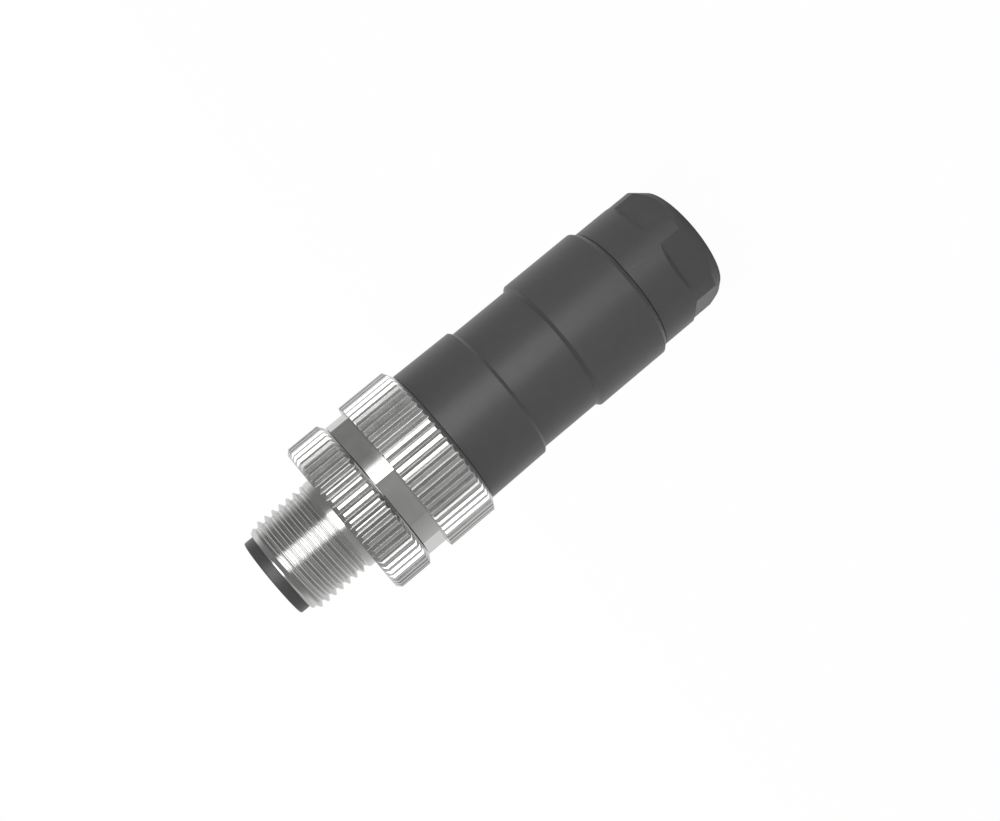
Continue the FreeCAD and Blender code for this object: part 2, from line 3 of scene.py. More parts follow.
import bmesh
import bpy
from bpy.props import FloatProperty, FloatVectorProperty, IntProperty, PointerProperty
from mathutils import Matrix, Vector


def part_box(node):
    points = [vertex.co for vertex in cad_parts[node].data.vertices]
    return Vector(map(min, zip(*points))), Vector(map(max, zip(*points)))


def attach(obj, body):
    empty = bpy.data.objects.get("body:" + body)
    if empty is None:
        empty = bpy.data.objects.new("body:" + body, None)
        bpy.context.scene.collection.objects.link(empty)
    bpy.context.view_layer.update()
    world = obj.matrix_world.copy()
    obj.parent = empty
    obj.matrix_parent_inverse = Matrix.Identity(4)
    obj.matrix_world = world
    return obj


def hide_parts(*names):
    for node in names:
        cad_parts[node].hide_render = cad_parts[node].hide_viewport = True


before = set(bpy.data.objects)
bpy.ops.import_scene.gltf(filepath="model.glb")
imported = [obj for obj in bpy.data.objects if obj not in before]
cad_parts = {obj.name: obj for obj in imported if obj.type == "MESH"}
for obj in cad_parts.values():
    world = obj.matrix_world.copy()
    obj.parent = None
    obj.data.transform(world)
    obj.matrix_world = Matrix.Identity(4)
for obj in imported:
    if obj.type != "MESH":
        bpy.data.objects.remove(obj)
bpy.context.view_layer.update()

# Straight male sensor connector with a screw coupling and a cable gland, standing on its gland
# nut with the contacts on top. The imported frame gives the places; each piece below is a
# finer form of one node, with the finish of the real one. Lengths are metres.

bl_info = {
    "name": "Round sensor connector",
    "version": (1, 0, 0),
    "blender": (4, 5, 0),
    "location": "View3D > Sidebar > Connector",
    "description": "Pieces, finishes, lights and camera of a round sensor connector",
    "category": "Object",
}


def mm(millimetres):
    """A length in metres."""
    return millimetres * 0.001


def linear(code):
    """An sRGB hex colour as linear red, green and blue."""
    shares = [int(code[start:start + 2], 16) / 255 for start in (1, 3, 5)]
    return tuple(
        share / 12.92 if share <= 0.04045 else ((share + 0.055) / 1.055) ** 2.4 for share in shares
    )


def low(node):
    """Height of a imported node's lowest point."""
    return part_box(node)[0].z


def high(node):
    """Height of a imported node's highest point."""
    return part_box(node)[1].z


# Sizes and colours that a user would change


def length(name, description, default):
    """A length in the sidebar, with its default in millimetres."""
    return FloatProperty(
        name=name, description=description, default=mm(default), min=0, unit="LENGTH", precision=5
    )


def angle(name, description, default):
    """An angle in the sidebar, with its default in degrees."""
    return FloatProperty(
        name=name, description=description, default=math.radians(default), subtype="ANGLE"
    )


def colour(name, description, code):
    return FloatVectorProperty(
        name=name, description=description, default=linear(code), min=0, max=1, subtype="COLOR"
    )


class ConnectorKnurl(bpy.types.PropertyGroup):
    """Straight knurl on the collar and the coupling nut."""

    count: IntProperty(name="Grooves", description="V grooves round one rim", default=60, min=3)
    turn: angle("First groove", "Direction of the first groove from +X", 3.7)
    radius: length("Rim radius", "Radius over the knurl's lands", 10.0)
    mouth: length("Groove width", "Width of a V groove at the rim", 0.62)
    depth: length("Groove depth", "Depth of a V groove", 0.45)
    edge: length("Edge round", "Rounding of lands and roots left by the knurling wheel", 0.01)


class ConnectorThread(bpy.types.PropertyGroup):
    """External fine thread on the coupling nut's sleeve."""

    pitch: length("Pitch", "Advance of the thread in one turn", 1.0)
    crest: length("Crest radius", "Radius over the thread's crests", 5.95)
    root: length("Root radius", "Radius at the bottom of the thread", 5.41)
    crest_flat: length("Crest flat", "Width of the flat crest", 0.14)
    root_flat: length("Root flat", "Width of the rounded root", 0.2)
    edge: length("Edge round", "Rounding between flank and crest or root", 0.03)
    plain: length("Plain length", "Unthreaded length next to the knurled flange", 0.7)
    lead: length("Lead length", "Length of the chamfer at the sleeve's end", 0.92)
    lead_radius: length("Lead end radius", "Radius of the sleeve's end", 5.38)
    run_in: length("Run-in", "How far behind the flange's face the sleeve starts", 0.3)


class ConnectorGlandNut(bpy.types.PropertyGroup):
    """Gland nut with spanner flats."""

    full_length: length("Length", "From the rear rim to the front face", 9.6)
    radius: length("Radius", "Radius over the body", 8.2)
    rear_radius: length("Rear radius", "Radius where the rear chamfer ends", 6.8)
    rear_chamfer: length("Rear chamfer", "Length of the rear chamfer", 1.8)
    rim_edge: length("Rim round", "Rounding of the rear rim", 0.3)
    flat: length("Flats", "Distance of the spanner flats from the axis", 7.5)
    flat_length: length("Flat length", "Length of the spanner flats", 4.6)
    flat_turn: angle("Flat direction", "Direction of the first flat from +X", 13.0)
    cup: length("Cup radius", "Radius of the hollow for the housing's spigot", 7.0)
    mouth: length("Mouth chamfer", "Chamfer at the mouth of the hollow", 0.3)
    wall: length("Rear wall", "Thickness of the rear wall", 2.2)
    bore: length("Cable bore", "Radius of the cable's inlet", 4.5)
    lead: length("Bore lead", "Chamfer of the cable's inlet", 0.5)
    edge: length("Edge round", "Rounding of moulded edges", 0.1)
    fine_edge: length("Fine edge round", "Rounding of the edges of chamfers", 0.05)


class ConnectorHousing(bpy.types.PropertyGroup):
    """Stepped housing."""

    spigot: length("Spigot radius", "Radius of the gland nut's thread", 6.9)
    spigot_length: length("Spigot length", "From the rear end to the shoulder", 5.65)
    shoulder: length("Shoulder radius", "Radius where the rear band's chamfer starts", 8.2)
    rear_chamfer: length("Rear chamfer", "Length of the rear band's chamfer", 0.65)
    band: length("Band radius", "Radius of the two bands", 8.76)
    rear_band_length: length("Rear band length", "Length of the rear band", 9.4)
    step: length("Band step", "Length of the chamfers next to the waist", 0.42)
    waist: length("Waist radius", "Radius of the waist", 8.31)
    waist_length: length("Waist length", "Length of the waist", 7.8)
    mouth: length("Mouth radius", "Radius of the front band at its mouth", 8.86)
    ring_seat: length("Ring seat radius", "Radius of the sealing ring's seat", 7.7)
    ring_seat_depth: length("Ring seat depth", "Depth of the sealing ring's seat", 1.75)
    thread: length("Thread radius", "Radius of the bore for the collar", 7.1)
    thread_depth: length("Thread depth", "Depth of the bore for the collar", 6.8)
    chamber: length("Chamber radius", "Radius of the wiring chamber", 6.3)
    stop: length("Stop radius", "Radius of the hole in the seal's stop", 4.6)
    stop_place: length("Stop place", "From the shoulder to the seal's stop", 1.15)
    stop_length: length("Stop thickness", "Thickness of the seal's stop", 1.2)
    seal_seat: length("Seal seat radius", "Radius of the seat of the cable's seal", 5.9)
    edge: length("Edge round", "Rounding of moulded edges", 0.1)
    fine_edge: length("Fine edge round", "Rounding of the shoulder's edge", 0.05)
    spigot_edge: length("Spigot round", "Rounding of the spigot's end", 0.2)


class ConnectorCollar(bpy.types.PropertyGroup):
    """Grip collar with its six-sided neck."""

    skirt: length("Skirt radius", "Radius of the skirt inside the housing", 7.0)
    skirt_length: length("Skirt length", "Length of the skirt", 6.0)
    ring_groove: length("Ring groove radius", "Radius of the sealing ring's groove", 6.5)
    ring_groove_width: length("Ring groove width", "Width of the sealing ring's groove", 1.3)
    ring_groove_place: length("Ring groove place", "From the groove to the grip", 0.25)
    bore: length("Bore", "Radius of the bore", 5.9)
    grip_length: length("Grip length", "Length of the knurled band", 6.84)
    rear_rim: length("Rear rim", "Radius where the grip's rear chamfer starts", 9.0)
    rear_chamfer: length("Rear chamfer", "Length of the grip's rear chamfer", 0.62)
    neck: length("Neck radius", "Radius of the neck", 9.19)
    flat: length("Neck flats", "Distance of the neck's flats from the axis", 8.685)
    flat_turn: angle("Flat direction", "Direction of the first flat from +X", 14.7)
    journal: length("Journal radius", "Radius on which the coupling nut turns", 6.5)
    journal_length: length("Journal length", "Length of the journal", 4.0)
    journal_bore: length("Journal bore", "Radius of the bore round the insert", 5.05)
    insert_stop: length("Insert stop", "From the neck's front back to the insert's stop", 0.7)
    snap_place: length("Snap ring place", "From the neck's front to the snap ring's middle", 2.0)
    snap_groove: length("Snap groove radius", "Radius of the snap ring's groove", 6.05)
    snap_half: length("Snap groove half width", "Half the width of the snap ring's groove", 0.4)
    edge: length("Edge round", "Deburred edge of turned metal", 0.05)
    fine_edge: length("Fine edge round", "Rounding of the knurled band's rear edge", 0.025)
    grip_edge: length("Grip edge round", "Rounding of the knurled band's front edge", 0.12)
    skirt_edge: length("Skirt edge round", "Rounding of the skirt's end", 0.3)


class ConnectorCoupling(bpy.types.PropertyGroup):
    """Coupling nut's knurled flange and the bore of its sleeve."""

    bore: length("Bore", "Radius of the bore on the journal", 6.6)
    grip_length: length("Grip length", "Length of the knurled flange", 5.08)
    rear_rim: length("Rear rim", "Radius where the rear chamfer starts", 9.25)
    rear_chamfer: length("Rear chamfer", "Length of the rear chamfer", 0.54)
    front_rim: length("Front rim", "Radius where the front chamfer ends", 9.47)
    front_chamfer: length("Front chamfer", "Length of the front chamfer", 0.53)
    front_wall: length("Front wall", "Thickness of the wall in front of the journal", 1.0)
    snap_place: length("Snap groove place", "From the rear face to the snap groove's middle", 1.88)
    snap_groove: length("Snap groove radius", "Radius of the snap ring's groove", 7.05)
    snap_half: length("Snap groove half width", "Half the width of the snap ring's groove", 0.4)
    sleeve_bore: length("Sleeve bore", "Radius of the sleeve's bore", 5.1)
    sleeve_lead: length("Sleeve lead", "Chamfer of the sleeve's bore at its end", 0.1)
    face_overlap: length("Face overlap", "How far the front face runs in below the thread", 0.1)
    edge: length("Edge round", "Deburred edge of turned metal", 0.05)
    fine_edge: length("Fine edge round", "Rounding of the knurled flange's edges", 0.025)


class ConnectorInsert(bpy.types.PropertyGroup):
    """Insulating insert."""

    outer: length("Shroud radius", "Outer radius of the shroud", 5.0)
    shroud: length("Shroud bore", "Radius of the shroud's bore", 4.25)
    shroud_depth: length("Shroud depth", "Depth of the shroud", 8.5)
    lip: length("Lip round", "Rounding of the shroud's lip", 0.22)
    flange: length("Flange radius", "Radius of the flange held by the collar", 5.85)
    flange_length: length("Flange length", "Length of the flange", 3.95)
    groove_place: length("Groove place", "From the rear face to the ring's groove", 1.4)
    groove_width: length("Groove width", "Width of the ring's groove", 1.2)
    key_width: length("Key width", "Width of the key rib", 1.2)
    key_depth: length("Key depth", "Height of the key rib above the bore", 0.65)
    key_recess: length("Key recess", "From the lip back to the key rib", 0.5)
    key_round: length("Key round", "Rounding of the key rib's inner edges", 0.25)
    key_end: length("Key end", "Bevel at the key rib's end", 0.12)
    edge: length("Edge round", "Rounding of moulded edges", 0.1)


class ConnectorContact(bpy.types.PropertyGroup):
    """Turned contact."""

    pin: length("Pin radius", "Radius of the contact pin", 0.5)
    tip: length("Tip length", "Length of the pin's rounded tip", 0.35)
    root: length("Root radius", "Radius inside the insert's floor", 0.75)
    root_length: length("Root length", "Length inside the insert's floor", 7.3)
    shoulder: length("Shoulder radius", "Radius of the part that the insert holds", 0.9)
    shoulder_length: length("Shoulder length", "Length of the part that the insert holds", 15.35)
    barrel: length("Barrel radius", "Radius of the wire barrel", 1.4)
    barrel_length: length("Barrel length", "Length of the wire barrel", 8.5)
    bore: length("Wire bore", "Radius of the wire's bore", 0.85)
    bore_depth: length("Wire bore depth", "Depth of the wire's bore", 5.5)


class ConnectorColours(bpy.types.PropertyGroup):
    """Base colours of the finishes."""

    housing: colour("Housing", "Black of the moulded housing and gland nut", "#434343")
    insert: colour("Insert", "Black of the contact insert", "#424242")
    nickel: colour("Nickel", "Plating of the coupling nut and the collar", "#CDCDCC")
    gold: colour("Gold", "Plating of the contacts", "#E2B866")
    rubber: colour("Rubber", "Black of the sealing rings", "#262626")
    cage: colour("Cage", "Natural grey of the clamping cage", "#8B8B88")
    steel: colour("Steel", "Zinc plating of screws and snap ring", "#B9BCC0")


class ConnectorStudio(bpy.types.PropertyGroup):
    """Camera, floor and lights."""

    target: FloatVectorProperty(
        name="Target", description="Point that the camera looks at", default=(mm(-1.82), 0, mm(29.2)),
        subtype="TRANSLATION", precision=5,
    )
    distance: length("Distance", "From the camera to its target", 162.9)
    elevation: angle("Elevation", "Camera above the horizon", 7.51)
    roll: angle("Roll", "Camera turned about its view", -129.8)
    lens: FloatProperty(
        name="Lens", description="Focal length in millimetres", default=51.41, subtype="DISTANCE_CAMERA"
    )
    floor_radius: length("Floor radius", "Radius of the pale floor", 350)
    softbox_distance: length("Softbox distance", "From the axis to the softbox", 300)
    softbox_width: length("Softbox width", "Width of the softbox", 225)
    softbox_height: length("Softbox height", "Height of the softbox", 460)
    softbox_turn: angle("Softbox turn", "Softbox direction, from the camera's side towards +X", 9.0)
    softbox_power: FloatProperty(name="Softbox power", description="Power in watts", default=0.4, min=0)
    softbox_spread: angle("Softbox spread", "Angle in which the softbox's grid lets light through", 110)


GROUPS = {
    "connector_knurl": ConnectorKnurl,
    "connector_thread": ConnectorThread,
    "connector_gland_nut": ConnectorGlandNut,
    "connector_housing": ConnectorHousing,
    "connector_collar": ConnectorCollar,
    "connector_coupling": ConnectorCoupling,
    "connector_insert": ConnectorInsert,
    "connector_contact": ConnectorContact,
    "connector_colours": ConnectorColours,
    "connector_studio": ConnectorStudio,
}

# Form

# Points round the axis, round a contact, round a sealing ring and round its section
ROUND_STEPS = 192
CONTACT_STEPS = 64
RING_STEPS = 96
RING_SECTION_STEPS = 24
# Steps in the round of a corner and in the round of a contact's tip
ARC_STEPS = 4
TIP_STEPS = 8
# Largest share of a side that the round of one corner takes
ROUND_SHARE = 0.48
# Faces that meet at more than this angle keep a sharp edge
SHARP_ANGLE = math.radians(34)
# Points this close together become one, and distances are compared this finely
WELD = mm(0.0005)
EXACT = mm(0.00005)
FLAT_COUNT = 6
# Width of the round on a corner between flats, and the least turn between two columns of points
CORNER_WIDTH = math.radians(0.23)
LEAST_TURN = math.radians(0.02)
# How far rounded edges stand off root or land, as shares of the flank's rise or of the round
KNURL_ROOT_SHARE = 0.4
KNURL_LAND_SHARE = 0.3
THREAD_SHARE = 0.2
CONTACT_COUNT = 4


def even_turns(count=ROUND_STEPS):
    return [2 * math.pi * index / count for index in range(count)]


def around(across, turn, up):
    """The point at a distance from the axis, in a direction, at a height."""
    return across * math.cos(turn), across * math.sin(turn), up


def rounded(outline, edge):
    """A closed outline of (radius, height, edge round if it differs) with its corners rounded."""
    smooth = []
    for index, (across, up, *own) in enumerate(outline):
        corner = Vector((across, up))
        size = own[0] if own else edge
        if size == 0:
            smooth.append((across, up))
            continue
        back = Vector(outline[index - 1][:2]) - corner
        ahead = Vector(outline[(index + 1) % len(outline)][:2]) - corner
        reach = size / math.tan(back.angle(ahead, math.pi) / 2)
        reach = min(reach, back.length * ROUND_SHARE, ahead.length * ROUND_SHARE)
        start, end = corner + back.normalized() * reach, corner + ahead.normalized() * reach
        for step in range(ARC_STEPS + 1):
            share = step / ARC_STEPS
            point = start * (1 - share) ** 2 + corner * 2 * share * (1 - share) + end * share ** 2
            smooth.append((point.x, point.y))
    return smooth


def lathe(shape, outline_at, turns=None, closed=True):
    """An outline, given for each direction, carried round the axis."""
    columns = [
        [shape.verts.new(around(across, turn, up)) for across, up in outline_at(turn)]
        for turn in turns or even_turns()
    ]
    for index, column in enumerate(columns):
        other = columns[(index + 1) % len(columns)]
        for row in range(len(column) if closed else len(column) - 1):
            after = (row + 1) % len(column)
            shape.faces.new((column[row], other[row], other[after], column[after]))


def finish_piece(name, shape, part, body, slot, *nodes):
    """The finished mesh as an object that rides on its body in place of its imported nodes."""
    bmesh.ops.remove_doubles(shape, verts=shape.verts, dist=WELD)
    bmesh.ops.dissolve_degenerate(shape, edges=shape.edges, dist=WELD)
    bmesh.ops.recalc_face_normals(shape, faces=shape.faces)
    mesh = bpy.data.meshes.new(name)
    shape.to_mesh(mesh)
    shape.free()
    mesh.shade_smooth()
    mesh.set_sharp_from_angle(angle=SHARP_ANGLE)
    mesh.materials.append(finish_of(part))
    piece = bpy.data.objects.new(name, mesh)
    bpy.context.scene.collection.objects.link(piece)
    # large faces stay flat in the light and the small rounds between them take the turn
    flat_faces = piece.modifiers.new("flat_faces", "WEIGHTED_NORMAL")
    flat_faces.keep_sharp = True
    flat_faces.weight = 100
    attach(piece, body)
    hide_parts(*nodes)


def flat_reach(distance, first_turn, turn):
    """How far from the axis the flats lie in a direction."""
    part = 2 * math.pi / FLAT_COUNT
    off = (turn - first_turn + part / 2) % part - part / 2
    return distance / math.cos(off)


def flat_turns(distance, first_turn, radius):
    """Directions in which the flats meet the round between them, with their edge rounds."""
    half = math.acos(distance / radius)
    ends = [side * (half + shift) for side in (-1, 1) for shift in (-CORNER_WIDTH, 0, CORNER_WIDTH)]
    middles = [first_turn + 2 * math.pi / FLAT_COUNT * index for index in range(FLAT_COUNT)]
    return [middle + end for middle in middles for end in ends]


def groove_profile(knurl):
    """Half a groove and half a land, from the root outwards, as (distance along the rim, depth)."""
    half = knurl.mouth / 2
    slope = knurl.depth / half
    return (
        (0, knurl.depth - knurl.edge * slope * KNURL_ROOT_SHARE),
        (knurl.edge, knurl.depth - knurl.edge * slope),
        (half - knurl.edge, knurl.edge * slope),
        (half, knurl.edge * slope * KNURL_LAND_SHARE),
        (half + knurl.edge, 0),
        (math.pi * knurl.radius / knurl.count, 0),
    )


def knurl_turns(knurl):
    """Directions of the profile's points round the whole rim."""
    pitch = 2 * math.pi / knurl.count
    offs = [off / knurl.radius for off, _ in groove_profile(knurl)]
    middles = [knurl.turn + pitch * index for index in range(knurl.count)]
    return [middle + side * off for middle in middles for off in offs for side in (-1, 1)]


def knurl_reach(knurl, turn):
    """How far from the axis the knurled rim lies in a direction."""
    pitch = 2 * math.pi / knurl.count
    off = abs((turn - knurl.turn + pitch / 2) % pitch - pitch / 2) * knurl.radius
    profile = groove_profile(knurl)
    for (start, deep), (end, shallow) in zip(profile, profile[1:]):
        if off <= end + EXACT:
            return knurl.radius - deep + (deep - shallow) * (off - start) / (end - start)
    return knurl.radius


def in_order(*lists):
    """Directions of several lists in one order round the axis, each only once."""
    kept = []
    for turn in sorted(turn % (2 * math.pi) for turns in lists for turn in turns):
        if not kept or turn - kept[-1] > LEAST_TURN:
            kept.append(turn)
    return kept


# Finishes

# A noise pattern lies mostly between these two values
PATTERN_LOW = 0.3
PATTERN_HIGH = 0.7


def add_node(tree, kind, inputs=None, **settings):
    """A node with its settings and its inputs, each a value or another node's output."""
    made = tree.nodes.new(kind)
    for name, value in settings.items():
        setattr(made, name, value)
    for name, value in (inputs or {}).items():
        if isinstance(value, bpy.types.NodeSocket):
            tree.links.new(value, made.inputs[name])
        else:
            made.inputs[name].default_value = value
    return made


def new_finish(name):
    """A material with its tree emptied, and the place of its points on the object."""
    material = bpy.data.materials.new(name)
    material.use_nodes = True
    tree = material.node_tree
    tree.nodes.clear()
    place = add_node(tree, "ShaderNodeTexCoord").outputs["Object"]
    return material, tree, place


def noise(tree, place, size, detail, roughness=0.5):
    """A pattern whose largest cells have this size; detail adds finer ones."""
    inputs = {"Vector": place, "Scale": 1 / size, "Detail": detail, "Roughness": roughness}
    return add_node(tree, "ShaderNodeTexNoise", inputs)


def relief(tree, texture, strength, depth):
    """The surface's direction where the pattern stands out of it."""
    inputs = {"Height": texture.outputs[0], "Strength": strength, "Distance": depth}
    return add_node(tree, "ShaderNodeBump", inputs).outputs["Normal"]


def calculated(tree, operation, *values):
    """The result of an operation on values or on other nodes' outputs."""
    return add_node(tree, "ShaderNodeMath", dict(enumerate(values)), operation=operation).outputs[0]


def blotches(tree, texture, base, share):
    """The base colour, darker and lighter by a share where the pattern is."""
    tone = add_node(tree, "ShaderNodeValToRGB", {"Fac": texture.outputs[0]})
    ends = ((PATTERN_LOW, 1 - share), (PATTERN_HIGH, 1 + share))
    for stop, (position, factor) in zip(tone.color_ramp.elements, ends):
        stop.position = position
        stop.color = (*(part * factor for part in base), 1)
    return tone.outputs["Color"]


def between(tree, value, least, most, start=0.0, end=1.0):
    """Runs from least to most while the value runs from start to end."""
    inputs = {"Value": value, "From Min": start, "From Max": end, "To Min": least, "To Max": most}
    return add_node(tree, "ShaderNodeMapRange", inputs).outputs["Result"]


def uneven(tree, texture, middle, share):
    """A value that is less and more than its middle by a share where the pattern is."""
    least, most = middle * (1 - share), middle * (1 + share)
    return between(tree, texture.outputs[0], least, most, PATTERN_LOW, PATTERN_HIGH)


def surface(tree, inputs):
    """The principled shader with its inputs, as the material's output."""
    shader = add_node(tree, "ShaderNodeBsdfPrincipled", inputs)
    add_node(tree, "ShaderNodeOutputMaterial", {"Surface": shader.outputs["BSDF"]})


def moulded_polyamide(name, base, grain, roughness):
    """Glass-filled polyamide moulded in a spark-eroded tool: an even, satin black whose fine
    grain blurs the light to a soft stripe, a little greyer where the glass shows."""
    material, tree, place = new_finish(name)
    fibres = noise(tree, place, mm(1.4), detail=4, roughness=0.6)
    texture = noise(tree, place, grain, detail=2)
    surface(tree, {
        "Base Color": blotches(tree, fibres, base, share=0.04),
        "Roughness": uneven(tree, texture, roughness, share=0.1),
        "IOR": 1.53,
        "Normal": relief(tree, texture, strength=0.2, depth=mm(0.008)),
    })
    return material


def turned_plating(name, base, roughness, feed):
    """Brass or steel turned on an automatic lathe and plated: bright metal with faint rings left
    by the tool's feed, so that reflections blur a little along the axis."""
    material, tree, place = new_finish(name)
    parts = add_node(tree, "ShaderNodeSeparateXYZ", {"Vector": place}).outputs
    flat = add_node(tree, "ShaderNodeCombineXYZ", {"X": parts["X"], "Y": parts["Y"]})
    across = add_node(tree, "ShaderNodeVectorMath", {0: flat.outputs["Vector"]}, operation="LENGTH")
    rings = add_node(tree, "ShaderNodeCombineXYZ", {"X": across.outputs["Value"], "Z": parts["Z"]})
    marks = noise(tree, rings.outputs["Vector"], feed, detail=3, roughness=0.65)
    handling = noise(tree, place, mm(2.5), detail=3)
    surface(tree, {
        "Base Color": blotches(tree, handling, base, share=0.02),
        "Metallic": 1.0,
        "Roughness": uneven(tree, handling, roughness, share=0.15),
        "Normal": relief(tree, marks, strength=0.3, depth=mm(0.004)),
    })
    return material


def nitrile_rubber(name, base, roughness):
    """Nitrile rubber moulded in a polished tool: deep black, dull, with a bloom in blotches."""
    material, tree, place = new_finish(name)
    bloom = noise(tree, place, mm(1.0), detail=4)
    surface(tree, {
        "Base Color": blotches(tree, bloom, base, share=0.1),
        "Roughness": uneven(tree, bloom, roughness, share=1 / 6),
        "IOR": 1.52,
    })
    return material


# Each part's material, how it is made, and the size of its grain or tool marks
FINISHES = {
    "housing": (
        "glass_filled_polyamide_moulded", moulded_polyamide, {"grain": mm(0.15), "roughness": 0.38}
    ),
    "insert": ("polyamide_moulded_smooth", moulded_polyamide, {"grain": mm(0.25), "roughness": 0.4}),
    "cage": ("natural_polyamide_moulded", moulded_polyamide, {"grain": mm(0.2), "roughness": 0.45}),
    "nickel": ("nickel_plated_turned_brass", turned_plating, {"roughness": 0.2, "feed": mm(0.12)}),
    "gold": ("gold_plated_turned_brass", turned_plating, {"roughness": 0.16, "feed": mm(0.06)}),
    "steel": ("zinc_plated_steel", turned_plating, {"roughness": 0.3, "feed": mm(0.08)}),
    "rubber": ("nitrile_rubber_moulded", nitrile_rubber, {"roughness": 0.6}),
}


def finish_of(part):
    """The finish of a part, made when it is first asked for."""
    name, make, settings = FINISHES[part]
    colours = bpy.context.scene.connector_colours
    return bpy.data.materials.get(name) or make(name, getattr(colours, part), **settings)


def dress(node, part):
    """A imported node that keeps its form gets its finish."""
    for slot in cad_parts[node].material_slots:
        slot.material = finish_of(part)


# Pieces


class CONNECTOR_OT_gland_nut(bpy.types.Operator):
    """Black gland nut with six flats, a chamfered rear edge and the cable's inlet"""

    bl_idname = "connector.gland_nut"
    bl_label = "Gland nut"

    def execute(self, context):
        nut = context.scene.connector_gland_nut
        bottom = low("gland_nut")
        top = bottom + nut.full_length

        def outline_at(turn):
            across = min(nut.radius, flat_reach(nut.flat, nut.flat_turn, turn))
            chamfer = nut.rear_chamfer * (across - nut.rear_radius) / (nut.radius - nut.rear_radius)
            ramp = nut.flat_length + nut.radius - across
            return rounded(
                [
                    (nut.bore + nut.lead, bottom, nut.fine_edge),
                    (nut.rear_radius, bottom, nut.rim_edge),
                    (across, bottom + chamfer),
                    (across, bottom + nut.flat_length, nut.fine_edge),
                    (nut.radius, bottom + ramp, nut.fine_edge),
                    (nut.radius, top),
                    (nut.cup + nut.mouth, top, nut.fine_edge),
                    (nut.cup, top - nut.mouth, nut.fine_edge),
                    (nut.cup, bottom + nut.wall),
                    (nut.bore, bottom + nut.wall),
                    (nut.bore, bottom + nut.lead, nut.fine_edge),
                ],
                nut.edge,
            )

        turns = in_order(even_turns(), flat_turns(nut.flat, nut.flat_turn, nut.radius))
        shape = bmesh.new()
        lathe(shape, outline_at, turns)
        finish_piece("gland_nut_moulded", shape, "housing", "gland", "moulded_black", "gland_nut")
        return {"FINISHED"}


class CONNECTOR_OT_housing(bpy.types.Operator):
    """Black stepped housing with its spigot and wiring chamber"""

    bl_idname = "connector.housing"
    bl_label = "Housing"

    def execute(self, context):
        form = context.scene.connector_housing
        bottom, top = low("cable_housing"), high("cable_housing")
        shoulder = bottom + form.spigot_length
        rear_band = shoulder + form.rear_chamfer
        rear_band_end = rear_band + form.rear_band_length
        waist = rear_band_end + form.step
        waist_end = waist + form.waist_length
        stop = shoulder + form.stop_place
        outline = rounded(
            [
                (form.seal_seat, bottom),
                (form.spigot, bottom, form.spigot_edge),
                (form.spigot, shoulder),
                (form.shoulder, shoulder, form.fine_edge),
                (form.band, rear_band),
                (form.band, rear_band_end),
                (form.waist, waist),
                (form.waist, waist_end),
                (form.band, waist_end + form.step),
                (form.mouth, top),
                (form.ring_seat, top),
                (form.ring_seat, top - form.ring_seat_depth),
                (form.thread, top - form.ring_seat_depth),
                (form.thread, top - form.thread_depth),
                (form.chamber, top - form.thread_depth),
                (form.chamber, stop + form.stop_length),
                (form.stop, stop + form.stop_length),
                (form.stop, stop),
                (form.seal_seat, stop),
            ],
            form.edge,
        )
        shape = bmesh.new()
        lathe(shape, lambda turn: outline)
        finish_piece("housing_moulded", shape, "housing", "housing", "moulded_black", "cable_housing")
        return {"FINISHED"}


class CONNECTOR_OT_grip_collar(bpy.types.Operator):
    """Nickel-plated collar with a knurled band and a neck with six flats"""

    bl_idname = "connector.grip_collar"
    bl_label = "Grip collar"

    def execute(self, context):
        form, knurl = context.scene.connector_collar, context.scene.connector_knurl
        bottom, top = low("grip_collar"), high("grip_collar")
        rim = bottom + form.skirt_length
        grip_front = rim + form.grip_length
        neck_front = top - form.journal_length
        snap = neck_front + form.snap_place
        groove_front = rim - form.ring_groove_place
        groove_rear = groove_front - form.ring_groove_width
        stop = neck_front - form.insert_stop

        def outline_at(turn):
            grip = knurl_reach(knurl, turn)
            chamfer = form.rear_chamfer * (grip - form.rear_rim) / (knurl.radius - form.rear_rim)
            neck = min(form.neck, flat_reach(form.flat, form.flat_turn, turn))
            return rounded(
                [
                    (form.bore, bottom),
                    (form.skirt, bottom, form.skirt_edge),
                    (form.skirt, groove_rear),
                    (form.ring_groove, groove_rear),
                    (form.ring_groove, groove_front),
                    (form.skirt, groove_front),
                    (form.skirt, rim),
                    (form.rear_rim, rim),
                    (grip, rim + chamfer, form.fine_edge),
                    (grip, grip_front, form.grip_edge),
                    (neck, grip_front, 0),
                    (neck, neck_front),
                    (form.journal, neck_front, 0),
                    (form.journal, snap - form.snap_half),
                    (form.snap_groove, snap - form.snap_half, 0),
                    (form.snap_groove, snap + form.snap_half, 0),
                    (form.journal, snap + form.snap_half),
                    (form.journal, top),
                    (form.journal_bore, top),
                    (form.journal_bore, stop),
                    (form.bore, stop, 0),
                ],
                form.edge,
            )

        turns = in_order(knurl_turns(knurl), flat_turns(form.flat, form.flat_turn, form.neck))
        shape = bmesh.new()
        lathe(shape, outline_at, turns)
        finish_piece("grip_collar_knurled", shape, "nickel", "front", "nickel_plate", "grip_collar")
        return {"FINISHED"}


